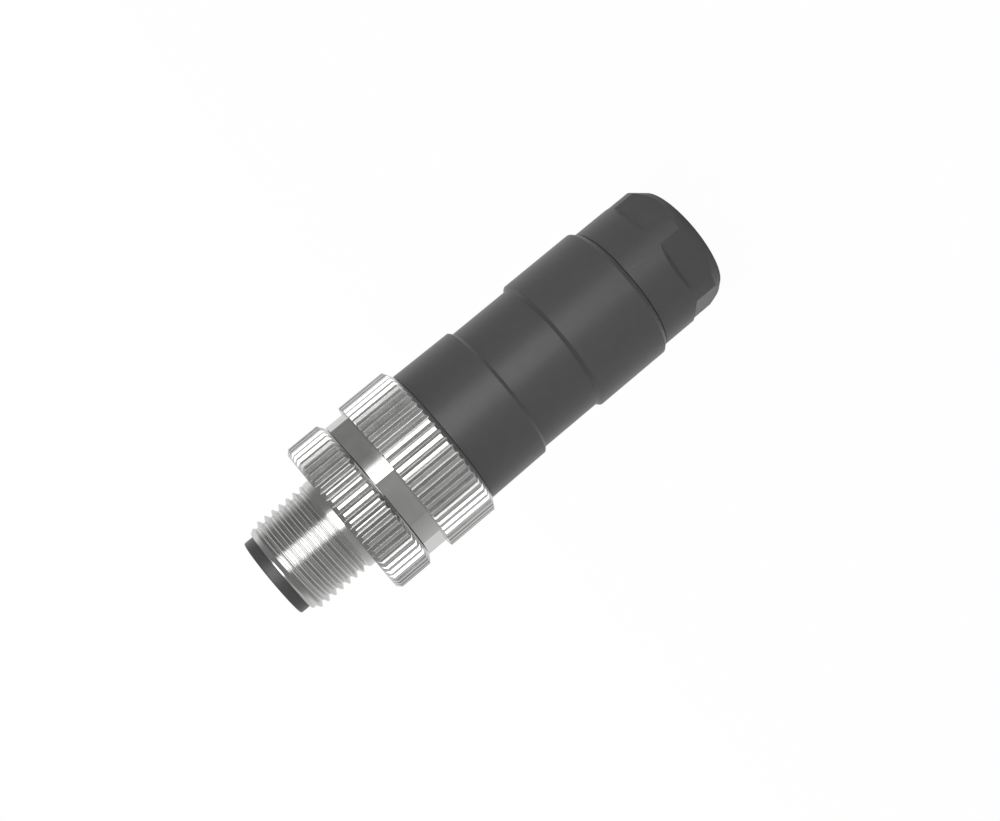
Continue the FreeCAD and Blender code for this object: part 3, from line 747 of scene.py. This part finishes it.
class CONNECTOR_OT_coupling_nut(bpy.types.Operator):
    """Nickel-plated coupling nut: knurled flange and threaded sleeve"""

    bl_idname = "connector.coupling_nut"
    bl_label = "Coupling nut"

    def execute(self, context):
        form, knurl = context.scene.connector_coupling, context.scene.connector_knurl
        thread = context.scene.connector_thread
        bottom, top = low("coupling_nut"), high("coupling_nut")
        flange = bottom + form.grip_length
        floor = flange - form.front_wall
        snap = bottom + form.snap_place
        hidden = thread.root - form.face_overlap

        def outline_at(turn):
            grip = knurl_reach(knurl, turn)
            rear = form.rear_chamfer * (grip - form.rear_rim) / (knurl.radius - form.rear_rim)
            front = form.front_chamfer * (grip - form.front_rim) / (knurl.radius - form.front_rim)
            return rounded(
                [
                    (form.bore, bottom),
                    (form.rear_rim, bottom),
                    (grip, bottom + rear, form.fine_edge),
                    (grip, flange - front, form.fine_edge),
                    (form.front_rim, flange),
                    (hidden, flange, 0),
                    (hidden, floor, 0),
                    (form.bore, floor, 0),
                    (form.bore, snap + form.snap_half),
                    (form.snap_groove, snap + form.snap_half, 0),
                    (form.snap_groove, snap - form.snap_half, 0),
                    (form.bore, snap - form.snap_half),
                ],
                form.edge,
            )

        shape = bmesh.new()
        lathe(shape, outline_at, in_order(knurl_turns(knurl)))
        self.threaded_sleeve(shape, thread, flange, top)
        self.sleeve_bore(shape, form, thread, floor, top)
        finish_piece("coupling_nut_threaded", shape, "nickel", "coupling", "nickel_plate", "coupling_nut")
        return {"FINISHED"}

    def threaded_sleeve(self, shape, thread, flange, top):
        """The sleeve's outside: rows of points follow the helix and stop at the flange and the end."""
        flank = (thread.pitch - thread.crest_flat - thread.root_flat) / 2
        slope = (thread.crest - thread.root) / flank
        edge = thread.edge
        root, crest = thread.root_flat / 2, thread.crest_flat / 2
        half = (
            (0, thread.root),
            (root - edge, thread.root + edge * THREAD_SHARE),
            (root + edge, thread.root + edge * slope),
            (thread.pitch / 2 - crest - edge, thread.crest - edge * slope),
            (thread.pitch / 2 - crest + edge, thread.crest - edge * THREAD_SHARE),
        )
        profile = [*half, (thread.pitch / 2, thread.crest)]
        profile += [(thread.pitch - along, across) for along, across in reversed(half[1:])]
        start = flange - thread.run_in
        rounds = math.ceil((top - start) / thread.pitch) + 2
        lead_start = top - thread.lead
        lead_slope = (thread.crest - thread.lead_radius) / thread.lead

        def reach(up, across):
            """The thread's radius, cut off by the plain length and by the lead chamfer."""
            across = max(across, thread.crest - max(0, up - flange - thread.plain))
            return min(across, thread.crest - max(0, up - lead_start) * lead_slope)

        columns = []
        for turn in even_turns():
            advance = thread.pitch * turn / (2 * math.pi)
            column = []
            for number in range(-1, rounds):
                for along, across in profile:
                    up = min(max(start + thread.pitch * number + along + advance, start), top)
                    column.append(shape.verts.new(around(reach(up, across), turn, up)))
            columns.append(column)
        for index, column in enumerate(columns):
            # the last column meets the first one turn of the helix further on
            move = len(profile) if index + 1 == len(columns) else 0
            other = columns[(index + 1) % len(columns)]
            for row in range(len(column) - 1 - move):
                corners = (column[row], other[row + move], other[row + move + 1], column[row + 1])
                if len({tuple(corner.co) for corner in corners}) > 2:
                    shape.faces.new(corners)

    def sleeve_bore(self, shape, form, thread, floor, top):
        """The sleeve's end and inside, back to the wall in front of the journal."""
        inside = [
            (thread.lead_radius, top),
            (form.sleeve_bore + form.sleeve_lead, top),
            (form.sleeve_bore, top - form.sleeve_lead),
            (form.sleeve_bore, floor),
            (form.bore, floor),
        ]
        lathe(shape, lambda turn: inside, closed=False)


class CONNECTOR_OT_contacts(bpy.types.Operator):
    """Black contact insert with its key rib, and four gold-plated contacts"""

    bl_idname = "connector.contacts"
    bl_label = "Insert and contacts"

    def execute(self, context):
        self.insert(context.scene.connector_insert)
        for number in range(1, CONTACT_COUNT + 1):
            self.contact(f"contact_{number}", f"contact_pin_{number}", context.scene.connector_contact)
        return {"FINISHED"}

    def insert(self, form):
        """Solid insert with its flange, the ring's groove and the shroud's hollow."""
        bottom, top = low("pin_insert"), high("pin_insert")
        floor = top - form.shroud_depth
        groove = bottom + form.groove_place
        stop = bottom + form.flange_length
        outline = rounded(
            [
                (0, bottom, 0),
                (form.flange, bottom),
                (form.flange, groove),
                (form.outer, groove),
                (form.outer, groove + form.groove_width),
                (form.flange, groove + form.groove_width),
                (form.flange, stop),
                (form.outer, stop),
                (form.outer, top, form.lip),
                (form.shroud, top, form.lip),
                (form.shroud, floor),
                (0, floor, 0),
            ],
            form.edge,
        )
        shape = bmesh.new()
        lathe(shape, lambda turn: outline)
        self.key(shape, form, floor, top - form.key_recess)
        finish_piece("contact_insert", shape, "insert", "front", "insert_black", "pin_insert")

    def key(self, shape, form, floor, top):
        """Rib on +X that fits the mating part's slot, rounded along its inner edges."""
        half = form.key_width / 2
        inner = form.shroud - form.key_depth + form.key_round
        section = [((form.shroud + form.outer) / 2, -half), (inner, -half)]
        for step in range(1, ARC_STEPS + 1):
            bend = math.pi / 2 * step / ARC_STEPS
            section.append(
                (inner - form.key_round * math.sin(bend), form.key_round * (1 - math.cos(bend)) - half)
            )
        section += [(across, -side) for across, side in reversed(section)]
        levels = ((floor, 0), (top - form.key_end, 0), (top, form.key_end))
        loops = [
            [shape.verts.new((across + pull, side * (1 - pull / half), up)) for across, side in section]
            for up, pull in levels
        ]
        for under, over in zip(loops, loops[1:]):
            for index in range(len(section)):
                after = (index + 1) % len(section)
                shape.faces.new((under[index], under[after], over[after], over[index]))
        shape.faces.new(loops[-1])
        shape.faces.new(list(reversed(loops[0])))

    def contact(self, node, name, form):
        """One contact from its wire barrel to its rounded tip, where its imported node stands."""
        lowest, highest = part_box(node)
        middle = (lowest + highest) / 2
        bottom, top = lowest.z, highest.z
        barrel_end = bottom + form.barrel_length
        shoulder_end = barrel_end + form.shoulder_length
        root_end = shoulder_end + form.root_length
        outline = [
            (0, bottom + form.bore_depth),
            (form.bore, bottom + form.bore_depth),
            (form.bore, bottom),
            (form.barrel, bottom),
            (form.barrel, barrel_end),
            (form.shoulder, barrel_end),
            (form.shoulder, shoulder_end),
            (form.root, shoulder_end),
            (form.root, root_end),
            (form.pin, root_end),
        ]
        for step in range(TIP_STEPS + 1):
            bend = math.pi / 2 * step / TIP_STEPS
            outline.append((form.pin * math.cos(bend), top - form.tip * (1 - math.sin(bend))))
        shape = bmesh.new()
        lathe(shape, lambda turn: outline, even_turns(CONTACT_STEPS))
        bmesh.ops.translate(shape, verts=shape.verts, vec=(middle.x, middle.y, 0))
        finish_piece(name, shape, "gold", "front", "contact_gold", node)


class CONNECTOR_OT_inner_pieces(bpy.types.Operator):
    """Rings, seal, cage, terminal block and screws inside the connector"""

    bl_idname = "connector.inner_pieces"
    bl_label = "Inner pieces"

    def execute(self, context):
        self.ring("housing_o_ring", "front_seal")
        self.ring("insert_o_ring", "front")
        dress("cable_seal", "rubber")
        dress("thrust_ring", "cage")
        dress("clamp_cage", "cage")
        dress("terminal_block", "insert")
        dress("terminal_screws", "steel")
        dress("snap_ring", "steel")
        return {"FINISHED"}

    def ring(self, node, body):
        """A rubber ring of round section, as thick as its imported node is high."""
        lowest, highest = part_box(node)
        wire = (highest.z - lowest.z) / 2
        outline = [
            (highest.x - wire + wire * math.cos(bend), lowest.z + wire + wire * math.sin(bend))
            for bend in even_turns(RING_SECTION_STEPS)
        ]
        shape = bmesh.new()
        lathe(shape, lambda turn: outline, even_turns(RING_STEPS))
        finish_piece(f"{node}_moulded", shape, "rubber", body, "seal_rubber", node)


# Stage

# Share of plain white in the board as the camera sees it, and as shiny surfaces mirror it
BOARD_WHITE = 0.97
BOARD_WHITE_MIRRORED = 0.2
# Upward part of a direction where the wall starts to turn into the ceiling, and where it ends
CEILING_START = 0.5
CEILING_END = 0.9
# How light the ceiling is in reflections; matt surfaces get full white from it
CEILING_MIRRORED = 0.24
# Way round the room as a share of a turn from -X over -Y and +X, and how light its wall is there
WALL = (
    (0.0, 0.52), (0.07, 0.38), (0.167, 0.34), (0.38, 0.23), (0.5, 0.25), (0.525, 0.3),
    (0.56, 0.55), (0.61, 1.0), (0.7, 0.85), (0.87, 0.85), (0.92, 0.68), (0.96, 0.6), (1.0, 0.52),
)


def camera_matrix(studio):
    """Camera at its distance and elevation from the -Y side, rolled about its view."""
    back = Vector((0, -math.cos(studio.elevation), math.sin(studio.elevation)))
    upright = back.to_track_quat("Z", "Y").to_matrix().to_4x4()
    roll = Matrix.Rotation(studio.roll, 4, "Z")
    return Matrix.Translation(Vector(studio.target) + back * studio.distance) @ upright @ roll


def pale_floor():
    """Polished white board: nearly plain white to the camera, so that only a faint shadow stays,
    and shiny enough to mirror the softbox at a low angle."""
    material, tree, place = new_finish("white_board_polished")
    fibres = noise(tree, place, mm(0.5), detail=2)
    tint = blotches(tree, fibres, linear("#F0F0F0"), share=0.01)
    board = add_node(tree, "ShaderNodeBsdfPrincipled", {"Base Color": tint, "Roughness": 0.12})
    white = add_node(tree, "ShaderNodeEmission", {"Color": (1, 1, 1, 1), "Strength": 1.0})
    path = add_node(tree, "ShaderNodeLightPath").outputs
    mirrored = calculated(tree, "MULTIPLY", path["Is Glossy Ray"], BOARD_WHITE_MIRRORED)
    share = calculated(tree, "MULTIPLY_ADD", path["Is Camera Ray"], BOARD_WHITE, mirrored)
    mixed = add_node(tree, "ShaderNodeMixShader", {0: share, 1: board.outputs[0], 2: white.outputs[0]})
    add_node(tree, "ShaderNodeOutputMaterial", {"Surface": mixed.outputs["Shader"]})
    return material


def studio_room(world):
    """Room round the object: grey on the softbox's side, white behind; white to the camera."""
    world.use_nodes = True
    tree = world.node_tree
    tree.nodes.clear()
    way = add_node(tree, "ShaderNodeTexCoord").outputs["Generated"]
    path = add_node(tree, "ShaderNodeLightPath").outputs
    turn = add_node(tree, "ShaderNodeTexGradient", {"Vector": way}, gradient_type="RADIAL")
    wall = add_node(tree, "ShaderNodeValToRGB", {"Fac": turn.outputs["Fac"]})
    stops = wall.color_ramp.elements
    for place, _ in WALL[1:-1]:
        stops.new(place)
    for stop, (place, grey) in zip(stops, WALL):
        stop.position, stop.color = place, (grey, grey, grey, 1)
    height = add_node(tree, "ShaderNodeSeparateXYZ", {"Vector": way})
    steep = calculated(tree, "ABSOLUTE", height.outputs["Z"])
    ceiling = add_node(
        tree, "ShaderNodeMapRange",
        {"Value": steep, "From Min": CEILING_START, "From Max": CEILING_END},
        interpolation_type="SMOOTHSTEP",
    )
    overhead = between(tree, path["Is Glossy Ray"], 1.0, CEILING_MIRRORED)
    grey = between(tree, ceiling.outputs["Result"], wall.outputs["Color"], overhead)
    strength = between(tree, path["Is Camera Ray"], grey, 1.0)
    room = add_node(tree, "ShaderNodeBackground", {"Color": (1, 1, 1, 1), "Strength": strength})
    add_node(tree, "ShaderNodeOutputWorld", {"Surface": room.outputs["Background"]})


class CONNECTOR_OT_stage(bpy.types.Operator):
    """Pale floor, softbox, room and the photograph's camera"""

    bl_idname = "connector.stage"
    bl_label = "Stage"

    def execute(self, context):
        studio, scene = context.scene.connector_studio, context.scene
        lens = bpy.data.cameras.new("photo_camera")
        lens.sensor_width = 36
        lens.lens = studio.lens
        lens.clip_start = mm(5)
        lens.clip_end = 10
        camera = bpy.data.objects.new("photo_camera", lens)
        camera.matrix_world = camera_matrix(studio)
        scene.collection.objects.link(camera)
        scene.camera = camera
        self.floor(scene, studio)
        self.softbox(scene, studio)
        scene.world = bpy.data.worlds.new("studio_room")
        studio_room(scene.world)
        scene.view_settings.view_transform = "Standard"
        return {"FINISHED"}

    def floor(self, scene, studio):
        """Round board that the connector stands on."""
        shape = bmesh.new()
        bmesh.ops.create_circle(shape, cap_ends=True, segments=ROUND_STEPS, radius=studio.floor_radius)
        mesh = bpy.data.meshes.new("floor")
        shape.to_mesh(mesh)
        shape.free()
        mesh.materials.append(pale_floor())
        floor = bpy.data.objects.new("floor", mesh)
        scene.collection.objects.link(floor)

    def softbox(self, scene, studio):
        """Soft light on the camera's side that reaches up from the floor's height."""
        lamp = bpy.data.lights.new("softbox", "AREA")
        lamp.shape = "RECTANGLE"
        lamp.size, lamp.size_y = studio.softbox_width, studio.softbox_height
        lamp.energy = studio.softbox_power
        lamp.spread = studio.softbox_spread
        softbox = bpy.data.objects.new("softbox", lamp)
        away = Vector((math.sin(studio.softbox_turn), -math.cos(studio.softbox_turn), 0))
        softbox.location = away * studio.softbox_distance + Vector((0, 0, studio.softbox_height / 2))
        softbox.rotation_euler = away.to_track_quat("Z", "Y").to_euler()
        softbox.visible_camera = False
        scene.collection.objects.link(softbox)


PIECES = (
    CONNECTOR_OT_stage,
    CONNECTOR_OT_gland_nut,
    CONNECTOR_OT_housing,
    CONNECTOR_OT_grip_collar,
    CONNECTOR_OT_coupling_nut,
    CONNECTOR_OT_contacts,
    CONNECTOR_OT_inner_pieces,
)


class CONNECTOR_PT_sidebar(bpy.types.Panel):
    """Sizes, colours and the steps that build the connector"""

    bl_idname = "CONNECTOR_PT_sidebar"
    bl_label = "Connector"
    bl_space_type = "VIEW_3D"
    bl_region_type = "UI"
    bl_category = "Connector"

    def draw(self, context):
        for group in GROUPS:
            box = self.layout.box()
            values = getattr(context.scene, group)
            for name in values.bl_rna.properties.keys():
                if name not in ("rna_type", "name"):
                    box.prop(values, name)
        for piece in PIECES:
            self.layout.operator(piece.bl_idname)


def register():
    for group in GROUPS.values():
        bpy.utils.register_class(group)
    for piece in PIECES:
        bpy.utils.register_class(piece)
    bpy.utils.register_class(CONNECTOR_PT_sidebar)
    for name, group in GROUPS.items():
        setattr(bpy.types.Scene, name, PointerProperty(type=group))


def unregister():
    for name in GROUPS:
        delattr(bpy.types.Scene, name)
    for kind in (CONNECTOR_PT_sidebar, *reversed(PIECES), *reversed(GROUPS.values())):
        bpy.utils.unregister_class(kind)


def main():
    register()
    for piece in PIECES:
        family, step = piece.bl_idname.split(".")
        getattr(getattr(bpy.ops, family), step)()


if __name__ == "__main__":
    main()
